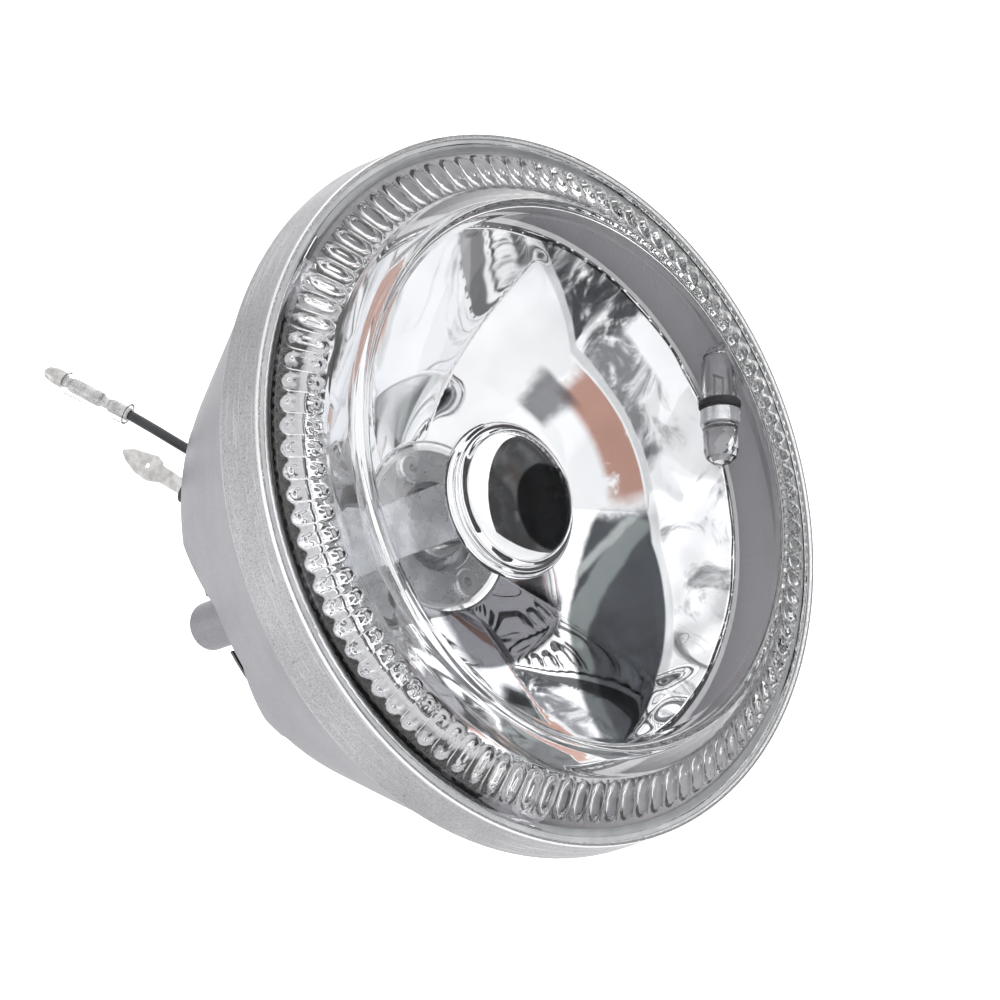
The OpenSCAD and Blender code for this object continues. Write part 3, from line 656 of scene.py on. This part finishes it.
# colours of the painted reflections on the mirror
bright, dim = (0.95, 0.95, 0.96, 1), (0.86, 0.87, 0.89, 1)
reflected_stone_grey, reflected_charcoal = (0.34, 0.36, 0.36, 1), (0.045, 0.05, 0.058, 1)
copper_dark, copper_pale = (0.30, 0.125, 0.09, 1), (0.46, 0.27, 0.22, 1)
black, reflected_smoke_grey, reflected_grey_green = (0.022, 0.024, 0.03, 1), (0.10, 0.10, 0.115, 1), (0.20, 0.22, 0.22, 1)
coat = mirror.mix(streak.step(0.35, 0.7), bright, dim)
# painted reflection: a smoky grey zone on the inner lower right
coat = mirror.mix(sector(-88, -24, 18, 36, 4.0) * sideways.step(34.0, 36.0, 1.0, 0.0) * 0.9, coat, reflected_smoke_grey)
coat = mirror.mix(dark_reflection_zone * 0.97, coat, mirror.mix(marble.step(0.3, 0.7), black, reflected_charcoal))
# painted reflections: grey-green and grey stripes across the dark zone
coat = mirror.mix(dark_reflection_zone * stripe(47, 6, 29, -27, 4.6) * 0.85, coat, reflected_grey_green)
coat = mirror.mix(dark_reflection_zone * stripe(46, 7, 31, -12, 1.8) * 0.85, coat, reflected_stone_grey)
coat = mirror.mix(dark_reflection_zone * stripe(30, -26, 22, -52, 6.0) * 0.5, coat, reflected_grey_green)
# painted reflections: crinkled dark patches on the rippled outer band
folds = {"Scale": 1.0, "Detail": 5.0, "Roughness": 0.6, "Distortion": 1.4}
folds["Vector"] = mirror.stretched(110.0, 30.0, 60.0)
crinkle = mirror.node("ShaderNodeTexNoise", None, folds)
coat = mirror.mix(band * sector(58, 96, 44, 70) * crinkle.step(0.34, 0.56) * 0.95, coat, black)
coat = mirror.mix(band * sector(24, 60, 44, 57) * crinkle.step(0.38, 0.60) * 0.85, coat, reflected_smoke_grey)
coat = mirror.mix(band * sector(-66, 30, 44, 70) * crinkle.step(0.48, 0.70) * 0.9, coat, reflected_smoke_grey)
# painted reflection: a copper-coloured crescent inside the step
painted_copper_reflection = sector(14, 56, 39, 52, 3.0) * from_step.step(-8.0, -6.0) * from_step.step(-1.2, -0.8, 1.0, 0.0)
copper_tone = mirror.mix(streak.step(0.4, 0.6), copper_dark, copper_pale)
coat = mirror.mix(painted_copper_reflection * marble.step(0.32, 0.42), coat, copper_tone)
# painted reflection: a small smoky patch beside the crescent
coat = mirror.mix(sector(50, 64, 36, 44, 3.0) * 0.8, coat, reflected_smoke_grey)
# painted highlight: a pale grey line along the step between the petals and the band
coat = mirror.mix(near_step * 0.9, coat, (0.60, 0.61, 0.62, 1))
mirror.set(Base_Color=coat)
mirror.set(Roughness=streak.step(0.3, 0.8, 0.015, 0.07))
mirror.bump(mirror.noise(45.0, 2.0, 0.5), 0.15, 0.0004)
petals.data.materials.append(mirror.material)
print("mirror coated")

# %% [markdown]
# ## The pressing behind the mirror
# The bowl that carries the bright face is lacquered sheet. It is bright in front, pale and dull on its
# back, and only half metallic on the flat seat round the bulb. The bowl's own curve tells its back from
# its front.

# %% Lacquer the pressing
pressing = Finish("mirror_pressing")
behind_mm = pressing.axis(pressing.place, 1) * 1000 + lip_mm
spread_mm = pressing.radius_mm()
curve_mm = behind_mm + spread_mm * spread_mm / (4 * focal_length)
is_back = curve_mm.step(bowl_floor + 0.5, bowl_floor + 0.9) * spread_mm.step(20.0, 20.4)
lacquer = pressing.noise(300.0, 3.0, 0.6)
shade = pressing.mix(is_back, (0.94, 0.94, 0.95, 1), (0.80, 0.79, 0.82, 1))
pressing.set(Base_Color=pressing.mix(lacquer * 0.25, shade, (0.66, 0.66, 0.68, 1)))
flat_seat = spread_mm.step(19.6, 20.2, 1.0, 0.0)
pressing.set(Metallic=1 - is_back * 0.9 - flat_seat * 0.5, Roughness=is_back * 0.4 + 0.05 + lacquer * 0.04)
pressing.bump(lacquer, 0.2, 0.00005)
wear("reflector", pressing)
print("pressing lacquered")

# %% [markdown]
# ## The shield cup
# The cup in front of the bulb is spun from sheet: a domed face, a tight shoulder and two rolled beads at
# its edge. A spun part is a turned part, so one smooth profile is swept round the axis. Its front and back
# profiles are both given, because the sheet has a real thickness that shows at the rim.

# %% Spin the shield cup


def turned(name, profile_mm, around):
    """A closed cup turned round the lamp's axis from (radius, depth) pairs that start and end at radius 0."""
    shape = bmesh.new()
    tips = [shape.verts.new(on_lamp(0, 0, depth)) for radius, depth in (profile_mm[0], profile_mm[-1])]
    angles = [2 * math.pi * k / around for k in range(around)]
    rings = []
    for radius, depth in profile_mm[1:-1]:
        rings.append([shape.verts.new(on_lamp(radius, angle, depth)) for angle in angles])
    for a, b in zip(rings, rings[1:]):
        join_rings(shape, a, b)
    for tip, ring in zip(tips, (rings[0], rings[-1])):
        close_ring(shape, ring, tip)
    return smooth_piece(name, shape)


cup_front = 1000 * (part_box("shield_cap")[0].y - lip_centre.y)
cup_edge = 1000 * (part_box("shield_cap")[1].y - lip_centre.y)
face_radius, face_depth, face_steps = 15.6, 3.4, 26
back_share, sheet = 0.955, 0.8
tilts = [0.5 * math.pi * k / face_steps for k in range(face_steps + 1)]
face = [(face_radius * math.sin(t), cup_front + face_depth * (1 - math.cos(t)) ** 0.9) for t in tilts]
rim = [(15.9, cup_front + 4.2), (16.1, cup_front + 4.9), (16.5, cup_front + 5.1), (16.9, cup_front + 4.8),
       (17.3, cup_front + 5.0), (17.5, cup_front + 5.8), (17.9, cup_front + 6.1), (18.3, cup_front + 6.3),
       (18.5, cup_edge - 1.0), (18.4, cup_edge - 0.4), (18.0, cup_edge), (17.2, cup_edge - 0.2),
       (15.6, cup_front + 6.0), (15.2, cup_front + 4.6)]
cup_back = [(radius * back_share, depth + sheet) for radius, depth in reversed(face[:-1])]
shield_cup = turned("shield_cup", face + rim + cup_back, around=160)
shield_cup.data.materials.append(cap_shine.material)
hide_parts("shield_cap")
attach(shield_cup, "lamp")
print("cup from", round(cup_front, 2), "to", round(cup_edge, 2), "mm behind the lip")

# %% [markdown]
# ## Studio
# Chrome and glass show their surroundings, so the studio matters as much as the finishes. The room is
# white and a little greyer behind the bowl's upper left. A large dark card stands on the right and a small
# one low in front: they darken one side of the chrome and give the prisms their contrast, and only bright
# surfaces see them. One dim lamp lights the side of the bowl, and a plain pale floor lies below.

# %% Build the studio
world = bpy.data.worlds.new("studio")
bpy.context.scene.world = world
world.use_nodes = True
room = Network(world.node_tree)
direction = room.node("ShaderNodeTexCoord", None, None, out=0)
side_card = room.dot(direction, Vector((-0.75, 0.35, 0.45)).normalized()).step(0.3, 0.9)
light = 1 - side_card * 0.45
glow = room.node("ShaderNodeBackground", None, {"Color": (1.0, 1.0, 1.0, 1), "Strength": light * 1.65})
outlet = room.tree.nodes.new("ShaderNodeOutputWorld")
room.tree.links.new(glow.socket, outlet.inputs["Surface"])


card_distance, card_rings, card_points = 1.6, 12, 48


def dark_card(name, towards, half_angle, tone):
    """A round curved card that bright surfaces reflect, but that the camera and the floor do not see."""
    finish = Finish(name + "_cloth", Roughness=0.9)
    weave = finish.noise(4.0, 3.0, 0.6)
    finish.set(Base_Color=finish.mix(weave, (tone, tone, tone, 1), (tone * 1.3, tone * 1.3, tone * 1.35, 1)))
    axis = Vector(towards).normalized()
    side_way = axis.cross(Vector((0, 0, 1))).normalized()
    up_way = side_way.cross(axis)
    turns = [2 * math.pi * k / card_points for k in range(card_points)]
    spokes = [side_way * math.cos(turn) + up_way * math.sin(turn) for turn in turns]
    shape = bmesh.new()
    rings = []
    for ring in range(1, card_rings + 1):
        tilt = math.radians(half_angle) * ring / card_rings
        places = [card_distance * (axis * math.cos(tilt) + math.sin(tilt) * spoke) for spoke in spokes]
        rings.append([shape.verts.new(place) for place in places])
    for a, b in zip(rings, rings[1:]):
        join_rings(shape, a, b)
    shape.faces.new(rings[0])
    mesh = bpy.data.meshes.new(name)
    shape.to_mesh(mesh)
    shape.free()
    mesh.materials.append(finish.material)
    card = in_scene(name, mesh)
    card.visible_camera = False
    card.visible_shadow = False
    card.visible_diffuse = False


dark_card("right_card", towards=(0.80, -0.55, 0.05), half_angle=45.0, tone=0.03)
dark_card("low_card", towards=(0.35, -0.75, -0.60), half_angle=27.0, tone=0.12)


def soft_light(name, place, aim, size, power):
    """A square lamp at a place, turned to shine at its aim."""
    lamp = bpy.data.lights.new(name, "AREA")
    lamp.shape, lamp.size, lamp.energy = "SQUARE", size, power
    holder = in_scene(name, lamp)
    holder.location = place
    holder.rotation_euler = (Vector(place) - Vector(aim)).to_track_quat("Z", "Y").to_euler()


soft_light("side_light", place=(-1.0, 0.45, -0.45), aim=(0, 0, 0), size=0.6, power=3.0)

floor_finish = Finish("pale_floor", Roughness=0.6)
floor_cloud = floor_finish.noise(3.0, 3.0, 0.5)
floor_finish.set(Base_Color=floor_finish.mix(floor_cloud, (0.88, 0.88, 0.88, 1), (0.82, 0.82, 0.82, 1)))
floor_mesh = bpy.data.meshes.new("floor")
side, floor_level = 3.0, -0.3
corners = [(x * side, y * side, floor_level) for x, y in ((-1, -1), (1, -1), (1, 1), (-1, 1))]
floor_mesh.from_pydata(corners, [], [(0, 1, 2, 3)])
floor = in_scene("floor", floor_mesh)
floor_mesh.materials.append(floor_finish.material)
bpy.context.scene.view_settings.view_transform = "Standard"
print("studio ready")

# %% Finish
bpy.context.view_layer.update()
